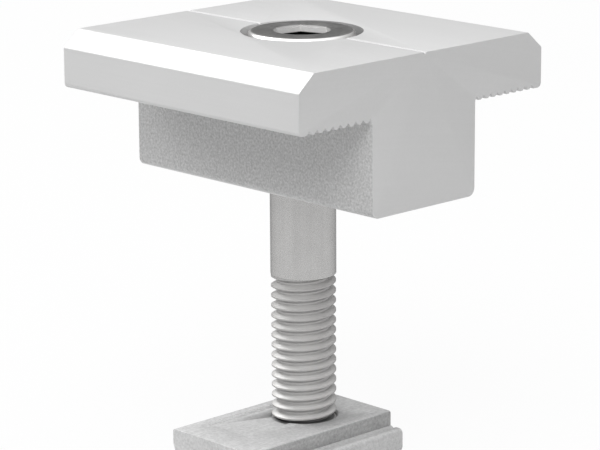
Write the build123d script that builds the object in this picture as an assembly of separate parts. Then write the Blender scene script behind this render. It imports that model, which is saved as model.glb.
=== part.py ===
from build123d import *

import math
import os

# Solar mid clamp: an extruded T block holds two module frames down on a mounting rail. A socket
# screw through the block draws a shouldered nut up against the lips of the rail's channel.
#
# Millimetres. +Z runs up the screw, +Y along the clamp block's extrusion, +X along the rail and
# across the gap between the modules. The origin is on the screw's axis, level with the underside
# of the nut. Heights are named *_z; everything else is a size.

# M8 x 50 hexagon socket head screw: plain shank, then thread
thread_size = 8.0  # nominal diameter, which the plain shank has too
thread_crest_relief = 0.1  # the thread's crests are this much smaller than nominal
screw_length = 50.0  # from under the head to the tip
thread_length = 28.0
thread_run_out = 0.4  # conical end of the plain shank
tip_chamfer = 0.9
head_diameter = 13.0
head_height = 8.0
head_rim_radius = 0.7
head_foot_chamfer = 0.25
socket_across_flats = 6.0
socket_depth = 4.6
socket_mouth_reach = 0.05  # the conical mouth's rim lies this far outside the corners
socket_mouth_angle = 120.0  # included
socket_floor_angle = 120.0  # included angle of the drill point left in the socket's floor
socket_turn = 49.0  # degrees from +X to a corner of the socket

# Split spring washer for socket screws, stored unloaded
washer_clearance = 0.1  # radial, around the screw's nominal size
washer_set_in = 0.15  # the washer's rim lies this far inside the head's
washer_thickness = 2.0
washer_rise = 1.2  # rise of the coil over one full turn
washer_slit = 14.0  # degrees left open between the ends
washer_slit_turn = 200.0  # degrees from +X to the lower end

# Clamp block, one length of T-shaped extrusion
block_width = 40.0
block_length = 40.3
block_height = 18.2
flange_thickness = 6.9  # top face to tooth tips
stem_width = 17.0  # the gap that the block sets between two modules
top_bevel_width = 2.4
top_bevel_height = 2.05
lip_radius = 0.6  # lower outer corner of each flange
stem_corner_radius = 1.0
tooth_pitch = 1.2
tooth_depth = 0.45
tooth_tip_width = 0.35
tooth_root_inset = 0.25  # from the stem's side, which ends level with the tips, to the first root
tooth_free_lip = 1.6  # outermost stretch of the flange's underside, without teeth
centre_groove_width = 0.5
centre_groove_depth = 0.25
counterbore_clearance = 0.8  # radial, around the screw's head
screw_hole_clearance = 0.3  # radial, between shank and block
head_proud = 0.1  # the head stands this far above the block's top face

# Rail nut, one length of extrusion along the rail
nut_length = 23.6
nut_height = 10.5
nut_hole_offset = 3.6  # from the middle of the nut's length to the screw
nut_neck_width = 13.7  # goes between the lips of the rail's channel
nut_neck_height = 1.85
nut_neck_radius = 0.3
shoulder_reach = 2.05  # bears under one lip of the channel
shoulder_corner_radius = 0.6
shoulder_side_height = 2.3
shoulder_groove_width = 0.8
shoulder_groove_depth = 0.22
shoulder_groove_inset = 0.15  # from the neck's wall
nut_flank_taper = 20.0  # degrees, on both flanks, so that the nut tilts in through the channel
nut_back_wall = 1.85  # least wall between the back flank and the thread
nut_foot_radius = 0.8
pocket_length = 15.0
pocket_width = 6.85
pocket_from_back = 1.5  # from the neck's back wall
pocket_depth = 0.3
pocket_corner_radius = 0.4
thread_fit_clearance = 0.05  # radial, between the thread's crests and the nut
nut_mouth_countersink = 0.25
tip_recess = 0.2  # the screw's tip stops this far above the nut's underside

# Heights that follow from the stack: nut, screw, washer, block
shank_radius = thread_size / 2
crest_radius = (thread_size - thread_crest_relief) / 2
nut_hole_radius = crest_radius + thread_fit_clearance
tip_z = tip_recess
thread_top_z = tip_z + thread_length
head_seat_z = tip_z + screw_length
head_top_z = head_seat_z + head_height
washer_bore = thread_size + 2 * washer_clearance
washer_outer = head_diameter - 2 * washer_set_in
washer_turn = 1 - washer_slit / 360
washer_height = washer_thickness + washer_rise * washer_turn
counterbore_diameter = head_diameter + 2 * counterbore_clearance
counterbore_floor_z = head_seat_z - washer_height
block_top_z = head_top_z - head_proud
seat_z = block_top_z - flange_thickness
block_bottom_z = block_top_z - block_height
shoulder_z = nut_height - nut_neck_height


def near(builder, *points):
    """The vertices of the sketch being built that lie at the given places."""
    return [builder.vertices().sort_by_distance((x, y, 0))[0] for x, y in points]


def clamp_block_section():
    """The T profile in the XZ plane: bevelled top, toothed flanges, square stem."""
    edge_x = block_width / 2
    stem_x = stem_width / 2
    root_z = seat_z + tooth_depth
    teeth_x = stem_x + tooth_root_inset
    tooth_count = math.floor((edge_x - tooth_free_lip - teeth_x) / tooth_pitch + 1e-6)
    teeth_end_x = teeth_x + tooth_count * tooth_pitch
    flank_run = (tooth_pitch - tooth_tip_width) / 2
    with BuildSketch() as section:
        with BuildLine():
            Polyline(
                (0, block_top_z - centre_groove_depth),
                (centre_groove_width / 2, block_top_z),
                (edge_x - top_bevel_width, block_top_z),
                (edge_x, block_top_z - top_bevel_height),
                (edge_x, seat_z),
                (teeth_end_x + flank_run, seat_z),
                (teeth_end_x, root_z),
            )
            for tooth in range(tooth_count):
                outer_x = teeth_end_x - tooth * tooth_pitch
                Polyline(
                    (outer_x, root_z),
                    (outer_x - flank_run, seat_z),
                    (outer_x - flank_run - tooth_tip_width, seat_z),
                    (outer_x - tooth_pitch, root_z),
                )
            Polyline(
                (teeth_x, root_z),
                (stem_x, seat_z),
                (stem_x, block_bottom_z),
                (0, block_bottom_z),
            )
            mirror(about=Plane.YZ)
        make_face()
        lips = near(section, (edge_x, seat_z), (-edge_x, seat_z))
        fillet(lips, lip_radius)
        feet = near(section, (stem_x, block_bottom_z), (-stem_x, block_bottom_z))
        fillet(feet, stem_corner_radius)
    return Plane.XZ * section.sketch


def clamp_block():
    """The extrusion, sawn to length, drilled for the screw and counterbored for its head."""
    body = extrude(clamp_block_section(), block_length / 2, both=True)
    screw_hole = Cylinder(
        shank_radius + screw_hole_clearance,
        block_height,
        align=(Align.CENTER, Align.CENTER, Align.MIN),
    )
    counterbore = Cylinder(
        counterbore_diameter / 2,
        block_top_z - counterbore_floor_z,
        align=(Align.CENTER, Align.CENTER, Align.MIN),
    )
    body -= Pos(0, 0, block_bottom_z) * screw_hole
    body -= Pos(0, 0, counterbore_floor_z) * counterbore
    return body


def socket_screw_outline():
    """Half of the screw's turned outline, in the XZ plane, from the tip up to the head."""
    head_radius = head_diameter / 2
    with BuildSketch() as outline:
        with BuildLine():
            Polyline(
                (0, tip_z),
                (crest_radius - tip_chamfer, tip_z),
                (crest_radius, tip_z + tip_chamfer),
                (crest_radius, thread_top_z),
                (shank_radius, thread_top_z + thread_run_out),
                (shank_radius, head_seat_z),
                (head_radius - head_foot_chamfer, head_seat_z),
                (head_radius, head_seat_z + head_foot_chamfer),
                (head_radius, head_top_z),
                (0, head_top_z),
                close=True,
            )
        make_face()
        fillet(near(outline, (head_radius, head_top_z)), head_rim_radius)
    return Plane.XZ * outline.sketch


def hex_socket():
    """The key's socket: hexagon, chamfered mouth and the cone of the drill point below."""
    floor_z = head_top_z - socket_depth
    flat_radius = socket_across_flats / 2
    corner_radius = socket_across_flats / math.sqrt(3)
    mouth_radius = corner_radius + socket_mouth_reach
    mouth_slope = math.tan(math.radians(socket_mouth_angle / 2))
    cone_height = flat_radius / math.tan(math.radians(socket_floor_angle / 2))
    hexagon = extrude(
        RegularPolygon(corner_radius, 6, rotation=socket_turn), socket_depth
    )
    drill_point = Cone(
        0,
        flat_radius,
        cone_height,
        align=(Align.CENTER, Align.CENTER, Align.MAX),
    )
    mouth = Cone(
        flat_radius,
        mouth_radius,
        (mouth_radius - flat_radius) / mouth_slope,
        align=(Align.CENTER, Align.CENTER, Align.MAX),
    )
    return Pos(0, 0, floor_z) * (hexagon + drill_point) + Pos(0, 0, head_top_z) * mouth


def socket_screw():
    """The turned blank with its socket. The thread is a plain cylinder at the crests' size."""
    return revolve(socket_screw_outline(), Axis.Z) - hex_socket()


def lock_washer():
    """One open turn of square wire, wound left-handed so that its ends bite when unscrewed."""
    coil_radius = (washer_bore + washer_outer) / 4
    wire_width = (washer_outer - washer_bore) / 2
    path = Helix(washer_rise, washer_rise * washer_turn, coil_radius, lefthand=True)
    start = Plane(origin=path @ 0, x_dir=(1, 0, 0), z_dir=path % 0)
    coil = sweep(start * Rectangle(wire_width, washer_thickness), path, is_frenet=True)
    lift = counterbore_floor_z + washer_thickness / 2
    return Pos(0, 0, lift) * Rot(0, 0, washer_slit_turn) * coil


def rail_nut_section():
    """The nut's profile in the YZ plane: neck, one grooved shoulder, two tapered flanks."""
    neck_y = nut_neck_width / 2
    shoulder_y = -neck_y - shoulder_reach
    taper = math.tan(math.radians(nut_flank_taper))
    groove_y = -neck_y - shoulder_groove_inset
    groove_end_y = groove_y - shoulder_groove_width
    side_foot_z = shoulder_z - shoulder_side_height
    front_foot_y = shoulder_y + taper * side_foot_z
    back_foot_y = nut_hole_radius + nut_back_wall
    back_taper_z = shoulder_z - (neck_y - back_foot_y) / taper
    with BuildSketch() as section:
        Polygon(
            (neck_y, nut_height),
            (-neck_y, nut_height),
            (-neck_y, shoulder_z),
            (groove_y, shoulder_z),
            ((groove_y + groove_end_y) / 2, shoulder_z - shoulder_groove_depth),
            (groove_end_y, shoulder_z),
            (shoulder_y, shoulder_z),
            (shoulder_y, side_foot_z),
            (front_foot_y, 0),
            (back_foot_y, 0),
            (back_foot_y, back_taper_z),
            (neck_y, shoulder_z),
            align=None,
        )
        necks = near(section, (neck_y, nut_height), (-neck_y, nut_height))
        fillet(necks, nut_neck_radius)
        fillet(near(section, (shoulder_y, shoulder_z)), shoulder_corner_radius)
        fillet(near(section, (front_foot_y, 0), (back_foot_y, 0)), nut_foot_radius)
    return Plane.YZ * section.sketch


def rail_nut():
    """The extrusion, cut to length, with its tapped hole off centre and a shallow top pocket."""
    body = Pos(-nut_hole_offset, 0, 0) * extrude(rail_nut_section(), nut_length / 2, both=True)
    pocket_y = nut_neck_width / 2 - pocket_from_back - pocket_width / 2
    pocket = extrude(
        RectangleRounded(pocket_length, pocket_width, pocket_corner_radius), pocket_depth
    )
    hole = Cylinder(
        nut_hole_radius, nut_height, align=(Align.CENTER, Align.CENTER, Align.MIN)
    )
    mouth = Cone(
        nut_hole_radius,
        nut_hole_radius + nut_mouth_countersink,
        nut_mouth_countersink,
        align=(Align.CENTER, Align.CENTER, Align.MAX),
    )
    body -= Pos(-nut_hole_offset, pocket_y, nut_height - pocket_depth) * pocket
    body -= hole
    body -= Pos(0, 0, nut_height) * mouth
    return body


pieces = {
    "clamp_block": clamp_block(),
    "socket_screw": socket_screw(),
    "lock_washer": lock_washer(),
    "rail_nut": rail_nut(),
}

os.makedirs("parts", exist_ok=True)
for name, piece in pieces.items():
    export_step(piece, f"parts/{name}.step")
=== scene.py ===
"""Looks for the solar mid clamp: clamp extrusion, cap screw, lock washer and tapped rail nut.

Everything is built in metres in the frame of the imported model. The sizes named below are in
millimetres unless they say otherwise. The screw's axis is Z and the rail nut stands on z = 0.
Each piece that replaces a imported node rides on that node's body.
"""

import contextlib
import math

import bmesh
import bpy
from mathutils import Matrix, Vector


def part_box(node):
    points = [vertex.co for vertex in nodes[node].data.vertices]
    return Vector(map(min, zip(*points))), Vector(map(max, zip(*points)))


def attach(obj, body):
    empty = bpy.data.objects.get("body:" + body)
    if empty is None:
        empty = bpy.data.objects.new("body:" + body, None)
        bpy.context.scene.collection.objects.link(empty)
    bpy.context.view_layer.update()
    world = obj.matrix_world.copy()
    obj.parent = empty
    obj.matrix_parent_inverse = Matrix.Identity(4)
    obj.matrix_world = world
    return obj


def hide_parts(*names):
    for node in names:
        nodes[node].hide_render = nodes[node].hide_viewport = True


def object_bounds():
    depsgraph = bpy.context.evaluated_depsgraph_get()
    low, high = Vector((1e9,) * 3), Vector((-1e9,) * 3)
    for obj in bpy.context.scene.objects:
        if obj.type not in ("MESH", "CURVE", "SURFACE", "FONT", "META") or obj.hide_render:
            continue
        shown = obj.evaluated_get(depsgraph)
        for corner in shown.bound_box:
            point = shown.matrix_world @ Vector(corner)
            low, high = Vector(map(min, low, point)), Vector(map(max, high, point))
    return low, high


MM = 0.001


def grey(level, warmth=0.0):
    """A linear colour from a display level of 0 to 255, a little warm or cold."""
    share = level / 255
    linear = share / 12.92 if share <= 0.04045 else ((share + 0.055) / 1.055) ** 2.4
    return (linear * (1 + warmth), linear, linear * (1 - warmth), 1.0)


# Screw
THREAD_PITCH = 1.25
THREAD_DEPTH = 0.7
THREAD_CREST_FLAT = 0.16
THREAD_ROOT_FLAT = 0.24
THREAD_LENGTH = 28.2
THREAD_RUN_OUT = 0.05  # the height in which the crests' radius widens to the shank's
THREAD_FADE = 0.3  # the groove runs out over this length under the plain shank
TIP_CHAMFER = 0.9
START_CREST_HEIGHT = 0.3  # from the nut's foot to the middle of a crest, at the start angle
SHANK_RADIUS = 4.0
SHANK_RING = 11.0  # from the thread's top to a ring of points about half way up the plain shank
CREST_RADIUS = 3.95
HEAD_RADIUS = 6.5
HEAD_HEIGHT = 8.0
HEAD_RIM = 0.7
HEAD_RIM_STEPS = 6
HEAD_FOOT_CHAMFER = 0.25
SOCKET_FLATS = 6.0
SOCKET_MOUTH = 0.05  # the conical mouth's rim lies this far outside the corners
SOCKET_DEPTH = 4.6
SOCKET_CONE = math.tan(math.radians(60))  # radius for each millimetre of a cone's height
DRILL_RING_DEPTH = 1.6  # the last ring of points above the drill's point
START_ANGLE = math.radians(49.0)  # where one corner of the socket and every ring of points starts
KNURL_COUNT = 64
KNURL_DEPTH = 0.14
KNURL_RUN_IN = 0.8
KNURL_ABOVE_SEAT = 0.7
KNURL_BELOW_RIM = 0.3
KNURL_END_GAP = 0.02
KNURL_SKIN = 0.05  # points this near the head's side are knurled
KNURL_GUARD = 0.0005  # keeps a point that stands on a tooth's start in that tooth
KNURL_RINGS = (0.0, 0.06, 0.12, 0.5, 0.88, 0.94, 1.0)  # shares of the knurl's height
COLUMNS = 192  # points in every ring round the screw: a multiple of 6 and of KNURL_COUNT

# Helical sheet of a thread
STRETCHES = 4.0  # crest, flank down, root and flank back
ROWS_PER_TURN = 8  # two for each stretch
SPARE_TURNS = 5.0
TURNS_BELOW = 3.0  # the sheet starts this many turns below the thread, and is pressed flat there
TURN_GUARD = 0.001  # keeps a row that stands on a turn's start in that turn

# Clamp block
FLANGE_HEIGHT = 6.9  # from the tips of the teeth to the block's top
TOOTH_DEPTH = 0.6
TOOTH_MARGIN = 0.01  # under the tips, so that their own edges count as teeth
COUNTERBORE_RADIUS = 7.3
GROOVE_HALF = 0.3  # half the width of the groove along the middle of the top

# Washer
WASHER_RADIUS = 6.35

# Nut
NUT_THREAD_GAP = 0.07  # between the nut's thread and the screw's, all round
NUT_BORE_RADIUS = 4.05
NUT_MOUTH_RADIUS = 5.2  # the bore's upper mouth stays as it is inside this radius
NUT_MOUTH_HEIGHT = 9.5  # and above this height
NUT_PLUG_RADIUS = 4.1
NUT_PLUG_TOP = 10.15
NUT_PLUG_SIDES = 96
NUT_POCKET_DEPTH = 0.3
NUT_POCKET_RIM = 1.5  # from the screw's axis to the pocket's front edge
NUT_NECK_HALF = 6.85
TAP_BOTTOM = -1.0
TAP_TOP = 12.0
TAP_FADE = 1.0
TAP_WIDER = 0.08  # the tap's crests are this much wider than the screw's, and its roots narrower

# Edges
EXTRUSION_EDGE = 0.16
SAWN_EDGE = 0.07
WASHER_EDGE = 0.12
SQUARE_ON = 0.999  # a face looks straight along an axis from this share of its normal
LARGE_FACE = 20.0  # square millimetres; faces above this are shaded flat

# Distances in metres within which points are joined
PACKED_WELD = 1e-6
THREAD_WELD = 2e-6
SCREW_WELD = 4e-6
NUT_WELD = 5e-7

# Colours, metal shares, and reliefs: the height from a bump's lowest to its highest points
CLAMP_COLOUR = grey(200)
CLAMP_METALLIC = 0.3
CLAMP_RELIEF = 0.008
SCREW_COLOUR = grey(188, 0.01)
SCREW_METALLIC = 0.85
SCREW_RELIEF = 0.0025
SCREW_EDGE_TINT = 0.35
WASHER_COLOUR = grey(150)
WASHER_METALLIC = 0.95
WASHER_RELIEF = 0.01
NUT_COLOUR = grey(194)
NUT_METALLIC = 0.3
NUT_RELIEF = 0.012
SURFACE_IOR = 1.45
FACING = (0.6, 0.9)  # a surface turns towards an axis between these shares of its normal


# ---------------------------------------------------------------- node graphs


class Field:
    """A value on a node's output. Arithmetic on it adds Math nodes to the same graph."""

    def __init__(self, graph, socket):
        self.graph = graph
        self.socket = socket

    def _math(self, operation, *values, clamp=False):
        settings = {"operation": operation, "use_clamp": clamp}
        return self.graph.node("ShaderNodeMath", dict(enumerate(values)), settings)

    def __add__(self, other):
        return self._math("ADD", self, other)

    def __radd__(self, other):
        return self._math("ADD", other, self)

    def __sub__(self, other):
        return self._math("SUBTRACT", self, other)

    def __rsub__(self, other):
        return self._math("SUBTRACT", other, self)

    def __mul__(self, other):
        return self._math("MULTIPLY", self, other)

    def __rmul__(self, other):
        return self._math("MULTIPLY", other, self)

    def __truediv__(self, other):
        return self._math("DIVIDE", self, other)

    def __rtruediv__(self, other):
        return self._math("DIVIDE", other, self)

    def __mod__(self, other):
        return self._math("FLOORED_MODULO", self, other)

    def __rmod__(self, other):
        return self._math("FLOORED_MODULO", other, self)

    def __pow__(self, other):
        return self._math("POWER", self, other)

    def __rpow__(self, other):
        return self._math("POWER", other, self)

    def __abs__(self):
        return self._math("ABSOLUTE", self)

    def __gt__(self, other):
        return self._math("GREATER_THAN", self, other)

    def __lt__(self, other):
        return self._math("LESS_THAN", self, other)

    def at_least(self, other):
        return self._math("MAXIMUM", self, other)

    def at_most(self, other):
        return self._math("MINIMUM", self, other)

    def share(self):
        """The value held between 0 and 1."""
        return self._math("ADD", self, 0.0, clamp=True)

    def floor(self):
        return self._math("FLOOR", self)

    def sin(self):
        return self._math("SINE", self)

    def cos(self):
        return self._math("COSINE", self)

    def arctan2(self, other):
        """The angle of the point (other, self) round the origin."""
        return self._math("ARCTAN2", self, other)

    def between(self, start, end):
        """0 at start, 1 at end, smooth in between; start may be the larger."""
        inputs = {"Value": self, "From Min": start, "From Max": end}
        return self.graph.node("ShaderNodeMapRange", inputs, {"interpolation_type": "SMOOTHSTEP"})

    def within(self, low, high, blur):
        """1 from low to high and 0 outside, with both ends smooth over the blur each way."""
        return self.between(low - blur, low + blur) * self.between(high + blur, high - blur)

    def spread(self, amount):
        """A noise of 0 to 1 as a swing about zero, the amount from end to end."""
        return (self - 0.5) * amount


class Graph:
    """Adds nodes to the tree of a material, a world or a modifier."""

    def __init__(self, tree):
        self.tree = tree

    def node(self, kind, inputs=None, settings=None, output=0):
        """Makes one node and returns its output. Its settings come first, then its inputs."""
        made = self.tree.nodes.new(kind)
        for name, value in (settings or {}).items():
            setattr(made, name, value)
        for name, value in (inputs or {}).items():
            if isinstance(value, Field):
                self.tree.links.new(value.socket, made.inputs[name])
            else:
                made.inputs[name].default_value = value
        return Field(self, made.outputs[output]) if len(made.outputs) else None

    def outputs(self, kind):
        """All the outputs of a new node, by name."""
        made = self.node(kind).socket.node
        return {socket.name: Field(self, socket) for socket in made.outputs if socket.name}

    def vector(self, x, y, z):
        return self.node("ShaderNodeCombineXYZ", {0: x, 1: y, 2: z})

    def parts(self, vector):
        """The X, Y and Z of a vector."""
        separate = self.node("ShaderNodeSeparateXYZ", {0: vector}).socket.node
        return [Field(self, separate.outputs[axis]) for axis in range(3)]

    def vector_math(self, operation, inputs):
        return self.node("ShaderNodeVectorMath", inputs, {"operation": operation})

    def noise(self, vector, scale, detail, roughness):
        """Noise of one scale, or of one scale for each axis."""
        if isinstance(scale, tuple):
            vector = self.vector_math("MULTIPLY", {0: vector, 1: scale})
            scale = 1.0
        inputs = {"Vector": vector, "Scale": scale, "Detail": detail, "Roughness": roughness}
        return self.node("ShaderNodeTexNoise", inputs)

    def tinted(self, colour, tone):
        """The colour times a tone, held below white."""
        mixed = self.vector_math("SCALE", {"Vector": colour[:3], "Scale": tone})
        return self.vector_math("MINIMUM", {0: mixed, 1: (1, 1, 1)})


def empty_graph(block):
    """The graph of a material or a world, with nothing in it."""
    block.use_nodes = True
    block.node_tree.nodes.clear()
    return Graph(block.node_tree)


def distance(first, second):
    """The distance of the point (first, second) from the origin."""
    return (first * first + second * second) ** 0.5


def layered(value, *layers):
    """The value plus each layer's mask times its change."""
    for mask, change in layers:
        value = value + mask * change
    return value


# ---------------------------------------------------------------- metal finishes


def metal(name, colour, relief, make, edge_tint=1.0):
    """A metal of one colour, whose variation comes from make().

    make() takes places in millimetres and the facing direction. It gives the colour's tone, the
    roughness, the metallic share and the bump's height from 0 to 1. edge_tint is the share of
    the light kept where the surface turns away.
    """
    material = bpy.data.materials.new(name)
    graph = empty_graph(material)
    place = graph.node("ShaderNodeTexCoord", output="Object")
    facing = graph.node("ShaderNodeTexCoord", output="Normal")
    millimetres = graph.vector_math("SCALE", {"Vector": place, "Scale": 1 / MM})
    tone, roughness, metallic, height = make(graph, millimetres, facing)
    bump = {"Strength": 1.0, "Distance": relief * MM, "Height": height}
    inputs = {
        "Base Color": graph.tinted(colour, tone),
        "Roughness": roughness,
        "Metallic": metallic,
        "IOR": SURFACE_IOR,
        "Specular Tint": (edge_tint, edge_tint, edge_tint, 1.0),
        "Normal": graph.node("ShaderNodeBump", bump),
    }
    surface = graph.node("ShaderNodeBsdfPrincipled", inputs)
    graph.node("ShaderNodeOutputMaterial", {"Surface": surface})
    return material


def anodised_clamp(seat, bore_radius):
    """Satin anodised extrusion: die lines along Y, saw marks on both ends, turned bores; painted
    shade in the counterbore, in the groove and on the stem's sides.
    """
    groove_low = seat + FLANGE_HEIGHT - 0.9
    saw_x, saw_z = -20.0, -90.0  # the centre of the saw's marks

    def make(graph, place, facing):
        x, y, z = graph.parts(place)
        across, along, up = graph.parts(facing)
        radius = distance(x, y)
        sawn = abs(along).between(*FACING)
        # the counterbore's wall: turned tool marks, and painted shade that darkens it by half
        bore_marks_and_shade = radius.between(bore_radius + 0.05, bore_radius + 0.01) * (1 - sawn)
        # the stem's sides under the flange: painted shade, darker by 0.15, with a coarser grain
        stem_side_grain_and_shade = abs(across).between(*FACING) * z.between(seat + 0.3, seat - 0.3)
        # the walls of the groove along the top: painted shade, darker by 0.2, and rougher
        groove_wall_shade = abs(x).between(GROOVE_HALF + 0.02, GROOVE_HALF - 0.03) * up.between(0.97, 0.9)
        groove_wall_shade = groove_wall_shade * z.between(groove_low, groove_low + 0.2) * (1 - sawn)
        die_lines = graph.noise(place, (2.2, 0.02, 2.2), 3.0, 0.6)
        etch = graph.noise(place, 3.4, 2.0, 0.6)
        cloud = graph.noise(place, (0.08, 0.04, 0.08), 3.0, 0.5)
        arc = distance(x - saw_x, z - saw_z)
        saw_marks = graph.noise(graph.vector(arc, y, x), (2.6, 1.0, 0.02), 3.0, 0.6)
        tool_marks = graph.noise(graph.vector(z, radius, 0.0), 3.0, 2.0, 0.6)
        drawn = die_lines * 0.55 + etch * 0.45
        ends = saw_marks * 0.5 + etch * 0.5
        bores = tool_marks * 0.8 + etch * 0.2
        grain = layered(drawn, (sawn, ends - drawn), (bore_marks_and_shade, bores - drawn))
        tone = layered(
            1.0 + grain.spread(0.1) + cloud.spread(0.08),
            (stem_side_grain_and_shade, etch.spread(0.9) - 0.15),
            (bore_marks_and_shade, -0.5),
            (groove_wall_shade, -0.2),
        )
        roughness = layered(
            0.42 + grain.spread(0.12),
            (sawn, 0.06),
            (stem_side_grain_and_shade, 0.06),
            (groove_wall_shade, 0.14),
        )
        return tone, roughness, CLAMP_METALLIC, grain

    return make


def stainless_screw(head_top, thread_top, nut_mouth):
    """Drawn shank and rolled thread; painted light and shade on the thread's flanks and crests, in
    the socket, on the rim and where the thread enters the nut, and a painted dark reflection on the
    head's top.
    """
    head_seat = head_top - HEAD_HEIGHT
    rim_inside = HEAD_RADIUS - HEAD_RIM

    def make(graph, place, facing):
        x, y, z = graph.parts(place)
        up = graph.parts(facing)[2]
        radius = distance(x, y)
        drawn = graph.noise(place, (1.7, 1.7, 0.03), 1.5, 0.5)
        rings = graph.noise(graph.vector(z, radius, 0.0), (2.5, 4.0, 1.0), 3.0, 0.6)
        speck = graph.noise(place, 2.2, 3.0, 0.6)
        smear = graph.noise(place, 0.45, 3.0, 0.5)
        head = z.between(head_seat - 0.02, head_seat + 0.05)
        top = z.between(head_top - 0.12, head_top - 0.02) * up.between(0.5, 0.95)
        inside = head * radius.between(3.9, 3.5) * (1 - top)
        # painted shade: the socket below 0.8 mm from the top is all but black
        deep_painted_shade = inside * z.between(head_top - 0.8, head_top - 0.9)
        # painted light: the socket's upper walls lighter by 0.9
        broached_painted_light = inside * (1 - deep_painted_shade)
        # painted shade: the socket's conical mouth darkened by 1.2
        mouth = broached_painted_light * up.between(0.3, 0.6)
        # painted highlight: the rounded rim round the head's top lighter by 0.8
        rim = head * z.between(head_top - 0.9, head_top - 0.5) * (1 - top)
        rim = rim * radius.between(rim_inside - 0.3, rim_inside)
        rolled = z.between(thread_top + 0.02, thread_top - 0.02)
        plain = (1 - head) * (1 - rolled)
        # painted shade: the thread's downward flanks darker by 0.25
        lower_flank_painted_shade = rolled * up.between(0.1, -0.4)
        # painted light: the thread's upward flanks lighter by 0.3
        upper = rolled * up.between(0.3, 0.7)
        # painted shade that tones down the crests' highlight, darker by 0.12
        crest = rolled * radius.between(CREST_RADIUS - 0.15, CREST_RADIUS - 0.03)
        # painted shade: the thread's grooves darkened where the screw enters the nut
        painted_foot_shade = z.within(nut_mouth - 0.2, nut_mouth + 0.22, 0.1)
        painted_foot_shade = painted_foot_shade * radius.between(CREST_RADIUS - 0.01, CREST_RADIUS - 0.35)
        # painted reflection: the head's top darkened by about 0.6, mottled
        painted_top_reflection = 0.62 - smear.spread(0.3) - speck.spread(0.4)
        grain = drawn * 0.5 + rings * 0.2 + speck * 0.3 + plain * 0.3 * (drawn - speck)
        tone = layered(
            1.0 + grain.spread(0.14 + 0.12 * plain) + smear.spread(0.1),
            (broached_painted_light, 0.9),
            (rim, 0.8),
            (rolled, 0.15),
            (upper, 0.3),
            (crest, -0.12),
            (lower_flank_painted_shade, -0.25),
            (mouth, -1.2),
        )
        tone = tone * (1 - painted_foot_shade * 0.75) * (1 - top * painted_top_reflection) * (1 - deep_painted_shade * 0.98)
        roughness = layered(0.27 + speck.spread(0.06), (top, 0.12), (rolled, 0.28), (head, 0.03))
        metallic = layered(
            SCREW_METALLIC,
            (plain, -0.1),
            (rolled, -0.08),
            (broached_painted_light, -0.55),
            (top, -0.2),
        )
        return tone, roughness, metallic, grain

    return make


def spring_washer(outer_radius):
    """Spring steel: drawn wire coiled round Z, dull grey and a little brighter at its outside."""

    def make(graph, place, facing):
        x, y, z = graph.parts(place)
        radius = distance(x, y)
        wire = graph.noise(graph.vector(radius, z, 0.0), 4.0, 3.0, 0.7)
        speck = graph.noise(place, 3.0, 4.0, 0.6)
        grain = wire * 0.6 + speck * 0.4
        worn = (radius - outer_radius).between(-0.35, 0.0)
        tone = layered(0.82 + grain.spread(0.4), (worn, 0.1))
        roughness = layered(0.45 + speck.spread(0.2), (worn, -0.06))
        return tone, roughness, WASHER_METALLIC, grain

    return make


def mill_nut(bore_radius, top):
    """Mill-finish extrusion: die lines along X, blasted grain, saw marks, a tapped bore; painted
    shade on the neck's front and along the pocket's front edge, painted light on the pocket's back
    wall.
    """
    saw_y, saw_z = 30.0, -80.0  # the centre of the saw's marks
    shoulder = top - 1.95
    line_start, line_end = -11.0, -4.0  # the painted shade line along the pocket's front edge

    def make(graph, place, facing):
        x, y, z = graph.parts(place)
        along, across, _ = graph.parts(facing)
        radius = distance(x, y)
        front = across.between(-0.5, -0.9) * z.between(shoulder, shoulder + 0.15)
        # painted light: the pocket's back wall lighter by 0.7
        pocket_wall_painted_light = front * (y + NUT_NECK_HALF).between(0.3, 0.6)
        # painted shade: the neck's front wall darker by 0.28
        neck_side_painted_shade = front - pocket_wall_painted_light
        # painted shade: a thin line along the pocket's front edge, half as bright
        pocket_edge_painted_shade = (y + NUT_POCKET_RIM).within(-0.06, 0.06, 0.04)
        pocket_edge_painted_shade = pocket_edge_painted_shade * z.between(top - 0.12, top - 0.04)
        pocket_edge_painted_shade = pocket_edge_painted_shade * x.between(line_start - 0.1, line_start + 0.1)
        pocket_edge_painted_shade = pocket_edge_painted_shade * x.between(line_end + 0.5, line_end - 0.5)
        tapped = radius.between(bore_radius + 0.15, bore_radius + 0.02)
        sawn = abs(along).between(*FACING) * (1 - tapped)
        die_lines = graph.noise(place, (0.03, 2.4, 2.4), 3.0, 0.6)
        etch = graph.noise(place, 2.8, 2.0, 0.65)
        cloud = graph.noise(place, 0.14, 3.0, 0.5)
        arc = distance(y - saw_y, z - saw_z)
        saw_marks = graph.noise(graph.vector(arc, x, 0.0), (2.6, 1.0, 1.0), 3.0, 0.6)
        drawn = die_lines * 0.3 + etch * 0.7
        ends = saw_marks * 0.4 + etch * 0.6
        grain = layered(drawn, (sawn, ends - drawn))
        tone = layered(
            1.0 + grain.spread(1.0) + cloud.spread(0.25),
            (tapped, -0.2),
            (neck_side_painted_shade, -0.28),
            (pocket_wall_painted_light, 0.7),
        )
        tone = tone * (1 - 0.5 * pocket_edge_painted_shade)
        roughness = layered(0.5 + grain.spread(0.16), (tapped, -0.15))
        return tone, roughness, NUT_METALLIC, grain

    return make


# ---------------------------------------------------------------- geometry helpers


def linked(name, data):
    """A new object in the scene."""
    made = bpy.data.objects.new(name, data)
    bpy.context.scene.collection.objects.link(made)
    return made


@contextlib.contextmanager
def edited(mesh):
    """Opens a mesh for editing and writes it back."""
    work = bmesh.new()
    work.from_mesh(mesh)
    yield work
    work.to_mesh(mesh)
    work.free()


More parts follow.
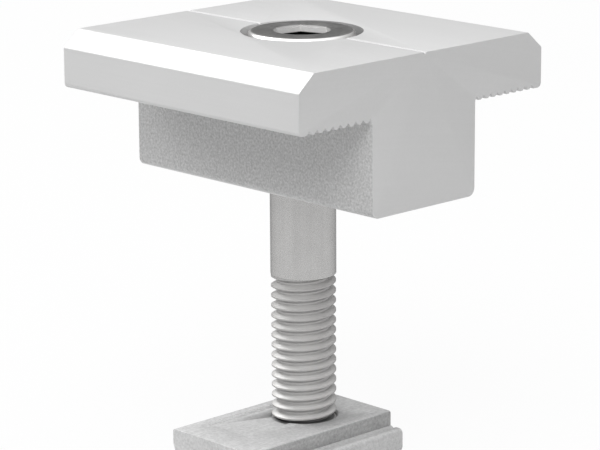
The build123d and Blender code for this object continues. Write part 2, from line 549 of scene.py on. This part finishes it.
def plain_mesh(piece):
    """Turns a piece with live modifiers into one plain mesh, and drops the modifiers."""
    bpy.context.view_layer.update()
    graph = bpy.context.evaluated_depsgraph_get()
    mesh = bpy.data.meshes.new_from_object(
        piece.evaluated_get(graph), preserve_all_data_layers=True, depsgraph=graph
    )
    piece.modifiers.clear()
    old = piece.data
    piece.data = mesh
    if old.users == 0:
        bpy.data.meshes.remove(old)


def finished(piece, material, sharp_angle):
    """Smooth faces but for the large ones, sharp edges past the angle, one material."""
    mesh = piece.data
    mesh.materials.clear()
    mesh.materials.append(material)
    mesh.polygons.foreach_set("material_index", [0] * len(mesh.polygons))
    small = [face.area < LARGE_FACE * MM * MM for face in mesh.polygons]
    mesh.polygons.foreach_set("use_smooth", small)
    mesh.set_sharp_from_angle(angle=math.radians(sharp_angle))
    mesh.update()
    return piece


def whole_copy(name, packed, flat_angle=0.5):
    """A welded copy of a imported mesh, with its flat faces joined into single faces."""
    piece = linked(name, packed.copy())
    with edited(piece.data) as work:
        bmesh.ops.remove_doubles(work, verts=work.verts, dist=PACKED_WELD)
        bmesh.ops.dissolve_limit(
            work,
            angle_limit=math.radians(flat_angle),
            use_dissolve_boundaries=False,
            verts=work.verts,
            edges=work.edges,
        )
    return piece


def eased_edges(piece, width_of):
    """Bevels the edges for which width_of(edge) gives a width in millimetres."""
    with edited(piece.data) as work:
        weight = work.edges.layers.float.new("bevel_weight_edge")
        widest = 0.0
        for edge in work.edges:
            if len(edge.link_faces) != 2:
                continue
            edge[weight] = width_of(edge)
            widest = max(widest, edge[weight])
        for edge in work.edges:
            edge[weight] /= widest
    bevel = piece.modifiers.new("eased", "BEVEL")
    bevel.limit_method = "WEIGHT"
    bevel.width = widest * MM
    bevel.segments = 2
    bevel.profile = 0.6
    bevel.use_clamp_overlap = False
    bevel.loop_slide = False
    plain_mesh(piece)


def sharp(edge, degrees=28):
    """True if the edge stands out by more than the angle."""
    return edge.calc_face_angle_signed(0.0) > math.radians(degrees)


def faces_along(edge, axis):
    """True if one of the edge's faces looks straight along the axis."""
    return any(abs(face.normal[axis]) > SQUARE_ON for face in edge.link_faces)


def middle_of(edge):
    """The middle of an edge, in millimetres."""
    return (edge.verts[0].co + edge.verts[1].co) / 2 / MM


def close_ends(work):
    """Fills the open ends of a mesh and turns all its faces outward."""
    open_edges = [edge for edge in work.edges if edge.is_boundary]
    bmesh.ops.holes_fill(work, edges=open_edges, sides=0)
    bmesh.ops.recalc_face_normals(work, faces=work.faces)


def combined(piece, other, operation):
    """Joins the other piece to this one or cuts it away, and drops the other."""
    modifier = piece.modifiers.new("combined", "BOOLEAN")
    modifier.operation = operation
    modifier.solver = "EXACT"
    modifier.object = other
    plain_mesh(piece)
    bpy.data.objects.remove(other)


# ---------------------------------------------------------------- threads and knurl


def interface_value(modifier, name, value):
    """Sets a modifier's input by its socket's identifier."""
    for item in modifier.node_group.interface.items_tree:
        if item.item_type == "SOCKET" and item.in_out == "INPUT" and item.name == name:
            modifier[item.identifier] = value
            return
    raise KeyError(name)


def new_tree(name, sizes, counts):
    """A Geometry Nodes tree with named sizes and counts, its graph, and its inputs by name."""
    tree = bpy.data.node_groups.new(name, "GeometryNodeTree")
    tree.interface.new_socket("Geometry", in_out="OUTPUT", socket_type="NodeSocketGeometry")
    tree.interface.new_socket("Geometry", in_out="INPUT", socket_type="NodeSocketGeometry")
    for size in sizes:
        tree.interface.new_socket(size, in_out="INPUT", socket_type="NodeSocketFloat")
    for count in counts:
        tree.interface.new_socket(count, in_out="INPUT", socket_type="NodeSocketInt")
    tree.interface.new_socket("Finish", in_out="INPUT", socket_type="NodeSocketMaterial")
    graph = Graph(tree)
    return tree, graph, graph.outputs("NodeGroupInput")


def close_tree(graph, geometry, finish):
    """Ends a tree in Realize Instances and Set Material."""
    real = graph.node("GeometryNodeRealizeInstances", {"Geometry": geometry})
    done = graph.node("GeometryNodeSetMaterial", {"Geometry": real, "Material": finish})
    graph.node("NodeGroupOutput", {"Geometry": done})


def run_tree(piece, tree, sizes, counts, finish):
    """Runs a tree on a piece, with its sizes in millimetres, and keeps the result."""
    modifier = piece.modifiers.new(tree.name, "NODES")
    modifier.node_group = tree
    for name, value in sizes.items():
        interface_value(modifier, name, value * MM)
    for name, value in counts.items():
        interface_value(modifier, name, value)
    interface_value(modifier, "Start Angle", START_ANGLE)
    interface_value(modifier, "Finish", finish)
    plain_mesh(piece)


def thread_tree():
    """A helical thread: a sheet of points wound round Z so that its rows follow the helix."""
    sizes = (
        "Pitch",
        "Crest Radius",
        "Depth",
        "Crest Flat",
        "Root Flat",
        "Bottom",
        "Top",
        "Chamfer",
        "Fade",
        "Crest Height",
        "Start Angle",
    )
    tree, graph, size = new_tree("helical thread", sizes, ("Columns", "Rows per Turn"))
    pitch, depth = size["Pitch"], size["Depth"]
    turns = ((size["Top"] - size["Bottom"]) / pitch).floor() + SPARE_TURNS
    rows = turns * size["Rows per Turn"]
    points = {
        "Size X": 1.0,
        "Size Y": rows,
        "Vertices X": size["Columns"] + 1,
        "Vertices Y": rows + 1,
    }
    sheet = graph.node("GeometryNodeMeshGrid", points)
    column, row, _ = graph.parts(graph.node("GeometryNodeInputPosition"))
    column = column + 0.5
    row = row + rows * 0.5
    turn = (row / size["Rows per Turn"] + TURN_GUARD).floor()
    step = STRETCHES * (row / size["Rows per Turn"] - turn)
    flank = (pitch - size["Crest Flat"] - size["Root Flat"]) * 0.5
    crest, down, root, back = [(step - float(number)).share() for number in range(4)]
    within = crest * size["Crest Flat"] + (down + back) * flank + root * size["Root Flat"]
    lowest = size["Crest Height"] - size["Crest Flat"] * 0.5 - TURNS_BELOW * pitch
    height = lowest + size["Bottom"] + turn * pitch + within + column * pitch
    radius = size["Crest Radius"] - depth * (down - back)
    height = height.at_least(size["Bottom"]).at_most(size["Top"])
    chamfered = size["Crest Radius"] - size["Chamfer"] + (height - size["Bottom"])
    radius = radius.at_most(chamfered)
    fading = size["Crest Radius"] - depth * ((size["Top"] - height) / size["Fade"])
    radius = radius.at_least(fading.at_most(size["Crest Radius"]))
    angle = column * math.tau + size["Start Angle"]
    place = graph.vector(angle.cos() * radius, angle.sin() * radius, height)
    wound = graph.node("GeometryNodeSetPosition", {"Geometry": sheet, "Position": place})
    joined = {"Geometry": wound, "Distance": THREAD_WELD}
    welded = graph.node("GeometryNodeMergeByDistance", joined)
    close_tree(graph, welded, size["Finish"])
    return tree


def knurl_tree():
    """Straight knurling: pulls points near one radius in by a rounded zigzag of the angle."""
    sizes = ("Radius", "Depth", "Lower End", "Upper End", "Run In", "Start Angle")
    tree, graph, size = new_tree("straight knurl", sizes, ("Count",))
    x, y, z = graph.parts(graph.node("GeometryNodeInputPosition"))
    radius = distance(x, y)
    angle = y.arctan2(x) - size["Start Angle"]
    tooth = (angle * size["Count"] / math.tau + KNURL_GUARD) % 1.0
    groove = 1 - abs(tooth * 2.0 - 1)
    low = z.between(size["Lower End"], size["Lower End"] + size["Run In"])
    high = z.between(size["Upper End"], size["Upper End"] - size["Run In"])
    outside = radius > size["Radius"] - KNURL_SKIN * MM
    pull = 1 - size["Depth"] * groove.between(0.1, 0.9) * low * high * outside / radius
    place = graph.vector(x * pull, y * pull, z)
    moved = graph.node("GeometryNodeSetPosition", {"Geometry": size["Geometry"], "Position": place})
    close_tree(graph, moved, size["Finish"])
    return tree


def cut_thread(name, tree, finish, bottom, top, chamfer, fade, gap=0.0, wider=0.0):
    """A thread's surface from bottom to top, on the one helix that the screw and nut share."""
    piece = linked(name, bpy.data.meshes.new(name))
    sizes = {
        "Pitch": THREAD_PITCH,
        "Crest Radius": CREST_RADIUS + gap,
        "Depth": THREAD_DEPTH,
        "Crest Flat": THREAD_CREST_FLAT + wider,
        "Root Flat": THREAD_ROOT_FLAT - wider,
        "Bottom": bottom,
        "Top": top,
        "Chamfer": chamfer,
        "Fade": fade,
        "Crest Height": START_CREST_HEIGHT - bottom,
    }
    run_tree(piece, tree, sizes, {"Columns": COLUMNS, "Rows per Turn": ROWS_PER_TURN}, finish)
    return piece


# ---------------------------------------------------------------- pieces


def lathe(work, rings):
    """Skins a stack of rings, each a height and a radius, and returns the last ring.

    The radius may be a function of the angle, and the height a function of that radius.
    """
    loops = []
    for height, radius_at in rings:
        loop = []
        for column in range(COLUMNS):
            angle = math.tau * column / COLUMNS + START_ANGLE
            radius = radius_at(angle) if callable(radius_at) else radius_at
            rise = height(radius) if callable(height) else height
            place = (radius * math.cos(angle) * MM, radius * math.sin(angle) * MM, rise * MM)
            loop.append(work.verts.new(place))
        loops.append(loop)
    for lower, upper in zip(loops, loops[1:]):
        for column in range(COLUMNS):
            after = (column + 1) % COLUMNS
            work.faces.new((lower[column], lower[after], upper[after], upper[column]))
    return loops[-1]


def hexagon_radius(angle):
    """The socket's radius at an angle, in millimetres."""
    turned = (angle - START_ANGLE) % (math.tau / 6)
    return SOCKET_FLATS / 2 / math.cos(turned - math.tau / 12)


def shank_rings(thread_top, seat):
    """Rings from the thread's top up the plain shank and round the head's foot."""
    return [
        (thread_top, CREST_RADIUS),
        (thread_top + THREAD_RUN_OUT, SHANK_RADIUS),
        (thread_top + SHANK_RING, SHANK_RADIUS),
        (seat, SHANK_RADIUS),
        (seat, HEAD_RADIUS - HEAD_FOOT_CHAMFER),
        (seat + HEAD_FOOT_CHAMFER, HEAD_RADIUS),
    ]


def rim_rings(side_top):
    """Rings of the rounded rim round the head's top."""
    rings = []
    for number in range(HEAD_RIM_STEPS + 1):
        angle = math.pi / 2 * number / HEAD_RIM_STEPS
        radius = HEAD_RADIUS - HEAD_RIM * (1 - math.cos(angle))
        rings.append((side_top + HEAD_RIM * math.sin(angle), radius))
    return rings


def socket_rings(head_top):
    """Rings of the hexagon socket, from its conical mouth down to the drill's cone."""
    mouth = SOCKET_FLATS / math.sqrt(3) + SOCKET_MOUTH
    foot = head_top - SOCKET_DEPTH
    return [
        (head_top, mouth),
        (lambda radius: head_top - (mouth - radius) / SOCKET_CONE, hexagon_radius),
        (foot, hexagon_radius),
        (foot, SOCKET_FLATS / 2),
        (foot - DRILL_RING_DEPTH, SOCKET_FLATS / 2 - DRILL_RING_DEPTH * SOCKET_CONE),
    ]


def cap_screw(finish, helix, tip, head_top):
    """Screw with a rolled thread, plain shank, knurled head and hexagon socket."""
    seat = head_top - HEAD_HEIGHT
    thread_top = tip + THREAD_LENGTH
    side_top = head_top - HEAD_RIM
    knurl_low = seat + KNURL_ABOVE_SEAT
    knurl_high = side_top - KNURL_BELOW_RIM
    drill_point = head_top - SOCKET_DEPTH - SOCKET_FLATS / 2 / SOCKET_CONE
    rings = shank_rings(thread_top, seat)
    for share in KNURL_RINGS:
        rings.append((knurl_low + share * (knurl_high - knurl_low), HEAD_RADIUS))
    rings += rim_rings(side_top) + socket_rings(head_top)
    screw = linked("cap_screw", bpy.data.meshes.new("screw blank"))
    with edited(screw.data) as work:
        last = lathe(work, rings)
        centre = work.verts.new((0, 0, drill_point * MM))
        for column in range(COLUMNS):
            work.faces.new((last[column], last[(column + 1) % COLUMNS], centre))
    knurl = {
        "Radius": HEAD_RADIUS,
        "Depth": KNURL_DEPTH,
        "Lower End": knurl_low - KNURL_END_GAP,
        "Upper End": knurl_high + KNURL_END_GAP,
        "Run In": KNURL_RUN_IN,
    }
    run_tree(screw, knurl_tree(), knurl, {"Count": KNURL_COUNT}, finish)
    thread = cut_thread("screw_thread", helix, finish, tip, thread_top, TIP_CHAMFER, THREAD_FADE)
    with edited(screw.data) as work:
        work.from_mesh(thread.data)
        bmesh.ops.remove_doubles(work, verts=work.verts, dist=SCREW_WELD)
        close_ends(work)
    bpy.data.objects.remove(thread)
    return finished(screw, finish, sharp_angle=38)


def clamp_extrusion(packed, finish, seat):
    """The clamp block, with the die's small radii and lightly broken saw edges."""
    piece = whole_copy("clamp_extrusion", packed)

    def width(edge):
        if not sharp(edge):
            return 0.0
        if faces_along(edge, axis=1):
            return SAWN_EDGE
        if seat - TOOTH_MARGIN < middle_of(edge).z < seat + TOOTH_DEPTH:
            return 0.0
        return EXTRUSION_EDGE

    eased_edges(piece, width)
    return finished(piece, finish, sharp_angle=30)


def lock_washer(packed, finish):
    """The split washer with the rolled corners of its wire."""
    piece = whole_copy("split_washer", packed, flat_angle=0.05)
    eased_edges(piece, lambda edge: WASHER_EDGE if sharp(edge, degrees=60) else 0.0)
    return finished(piece, finish, sharp_angle=40)


def tapped_nut(packed, finish, helix):
    """The rail nut with its thread cut in and lightly broken edges."""
    piece = whole_copy("tapped_nut", packed)

    def width(edge):
        middle = middle_of(edge)
        mouth = math.hypot(middle.x, middle.y) < NUT_MOUTH_RADIUS and middle.z > NUT_MOUTH_HEIGHT
        return SAWN_EDGE if sharp(edge) and not mouth else 0.0

    eased_edges(piece, width)
    plug = linked("plug", bpy.data.meshes.new("plug"))
    with edited(plug.data) as work:
        bmesh.ops.create_cone(
            work,
            cap_ends=True,
            segments=NUT_PLUG_SIDES,
            radius1=NUT_PLUG_RADIUS * MM,
            radius2=NUT_PLUG_RADIUS * MM,
            depth=NUT_PLUG_TOP * MM,
            matrix=Matrix.Translation((0, 0, NUT_PLUG_TOP / 2 * MM)),
        )
    combined(piece, plug, "UNION")
    tap = cut_thread(
        "tap",
        helix,
        finish,
        TAP_BOTTOM,
        TAP_TOP,
        chamfer=0.0,
        fade=TAP_FADE,
        gap=NUT_THREAD_GAP,
        wider=TAP_WIDER,
    )
    with edited(tap.data) as work:
        close_ends(work)
    combined(piece, tap, "DIFFERENCE")
    with edited(piece.data) as work:
        bmesh.ops.remove_doubles(work, verts=work.verts, dist=NUT_WELD)
        bmesh.ops.dissolve_degenerate(work, edges=work.edges, dist=NUT_WELD)
    return finished(piece, finish, sharp_angle=35)


# ---------------------------------------------------------------- the object

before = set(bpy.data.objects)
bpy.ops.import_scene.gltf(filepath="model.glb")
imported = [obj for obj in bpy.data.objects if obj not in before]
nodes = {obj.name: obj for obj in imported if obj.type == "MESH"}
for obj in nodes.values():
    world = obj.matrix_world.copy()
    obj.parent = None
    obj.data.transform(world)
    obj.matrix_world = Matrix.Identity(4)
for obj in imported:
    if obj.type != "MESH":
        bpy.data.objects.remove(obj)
cad_low, cad_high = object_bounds()
screw_low, screw_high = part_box("socket_screw")
_, block_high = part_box("clamp_block")
_, nut_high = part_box("rail_nut")
screw_tip = screw_low.z / MM
screw_top = screw_high.z / MM
nut_top = nut_high.z / MM
block_seat = block_high.z / MM - FLANGE_HEIGHT

clamp_finish = metal(
    "satin anodised aluminium",
    CLAMP_COLOUR,
    CLAMP_RELIEF,
    anodised_clamp(block_seat, COUNTERBORE_RADIUS),
)
screw_finish = metal(
    "stainless steel",
    SCREW_COLOUR,
    SCREW_RELIEF,
    stainless_screw(screw_top, screw_tip + THREAD_LENGTH, nut_top - NUT_POCKET_DEPTH),
    edge_tint=SCREW_EDGE_TINT,
)
washer_finish = metal("spring steel", WASHER_COLOUR, WASHER_RELIEF, spring_washer(WASHER_RADIUS))
nut_finish = metal("mill aluminium", NUT_COLOUR, NUT_RELIEF, mill_nut(NUT_BORE_RADIUS, nut_top))

helical_thread = thread_tree()
made = [
    (
        clamp_extrusion(nodes["clamp_block"].data, clamp_finish, block_seat),
        "clamp_block",
        "clamp",
        "anodised_aluminium",
    ),
    (
        cap_screw(screw_finish, helical_thread, screw_tip, screw_top),
        "socket_screw",
        "screw",
        "stainless_steel",
    ),
    (
        lock_washer(nodes["lock_washer"].data, washer_finish),
        "lock_washer",
        "washer",
        "spring_steel",
    ),
    (
        tapped_nut(nodes["rail_nut"].data, nut_finish, helical_thread),
        "rail_nut",
        "nut",
        "mill_aluminium",
    ),
]
for piece, node, body, slot in made:
    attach(piece, body)
    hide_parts(node)

# ---------------------------------------------------------------- studio

FLOOR_HALF = 3.0  # metres
FLOOR_COLOUR = grey(205)
FLOOR_GLOW = 0.9  # the floor's share of its own light where it is seen directly or mirrored
ROOM_HORIZON = 0.12  # strength of the room's light low down, and what the other parts add
ROOM_WALLS = 0.35
ROOM_CEILING = 0.95
ROOM_FRONT = 0.05
LAMP_DISTANCE = 0.9  # metres


def stage_material(name, colour, shown):
    """A pale surface that takes shadows, partly lit by itself where seen directly or mirrored."""
    material = bpy.data.materials.new(name)
    graph = empty_graph(material)
    rays = graph.outputs("ShaderNodeLightPath")
    seen = rays["Is Camera Ray"].at_least(rays["Is Glossy Ray"])
    seen = seen.at_least(rays["Is Transmission Ray"])
    paint = graph.node("ShaderNodeBsdfDiffuse", {"Color": colour, "Roughness": 0.5})
    glow = graph.node("ShaderNodeEmission", {"Color": (1, 1, 1, 1), "Strength": 1.0})
    mixed = graph.node("ShaderNodeMixShader", {0: seen * shown, 1: paint, 2: glow})
    graph.node("ShaderNodeOutputMaterial", {"Surface": mixed})
    return material


floor = linked("floor", bpy.data.meshes.new("floor"))
with edited(floor.data) as work:
    bmesh.ops.create_grid(
        work,
        x_segments=4,
        y_segments=4,
        size=FLOOR_HALF,
        matrix=Matrix.Translation((0, 0, cad_low.z)),
    )
floor.data.materials.append(stage_material("pale floor", FLOOR_COLOUR, FLOOR_GLOW))

world = bpy.data.worlds.new("studio")
bpy.context.scene.world = world
sky = empty_graph(world)
_, north, up = sky.parts(sky.node("ShaderNodeTexCoord", output="Generated"))
room = layered(
    ROOM_HORIZON,
    (up.between(0.1, 0.5), ROOM_WALLS),
    (up.between(0.5, 0.95), ROOM_CEILING),
    (north.between(0.1, -0.8), ROOM_FRONT),
)
backdrop = sky.node("ShaderNodeBackground", {"Color": (1, 1, 1, 1), "Strength": room})
sky.node("ShaderNodeOutputWorld", {"Surface": backdrop})


def softbox(name, direction, size, power, aim):
    """A square lamp in a direction from the aim, its size in metres and its power in watts."""
    lamp = bpy.data.lights.new(name, "AREA")
    lamp.shape = "SQUARE"
    lamp.size = size
    lamp.energy = power
    holder = linked(name, lamp)
    way = Vector(direction).normalized()
    holder.location = aim + way * LAMP_DISTANCE
    holder.rotation_mode = "QUATERNION"
    holder.rotation_quaternion = way.to_track_quat("Z", "Y")


middle = (cad_low + cad_high) / 2
softbox("back box", direction=(-0.22, 0.68, 0.70), size=0.6, power=5.0, aim=middle)
softbox("left box", direction=(-0.62, -0.44, 0.75), size=0.5, power=4.5, aim=middle)

# ---------------------------------------------------------------- camera

AZIMUTH = math.radians(-43.85)
ELEVATION = math.radians(14.02)
ROLL = -0.006  # radians
DISTANCE = 339.10 * MM
LENS = 168.67
AIM_HEIGHT = 34.298 * MM
AIM_SIDE = -0.3746 * MM

back = Vector(
    (
        math.sin(AZIMUTH) * math.cos(ELEVATION),
        -math.cos(AZIMUTH) * math.cos(ELEVATION),
        math.sin(ELEVATION),
    )
)
right = (-back).cross(Vector((0, 0, 1))).normalized()
above = right.cross(-back)
right, above = (
    right * math.cos(ROLL) + above * math.sin(ROLL),
    above * math.cos(ROLL) - right * math.sin(ROLL),
)
lens = bpy.data.cameras.new("camera")
lens.sensor_width = 36.0
lens.lens = LENS
lens.clip_start = 0.01
lens.clip_end = 50.0
camera = linked("camera", lens)
camera.matrix_world = Matrix((right, above, back)).transposed().to_4x4()
camera.location = back * DISTANCE + right * AIM_SIDE + Vector((0, 0, AIM_HEIGHT))
bpy.context.scene.camera = camera
bpy.context.scene.view_settings.view_transform = "Standard"
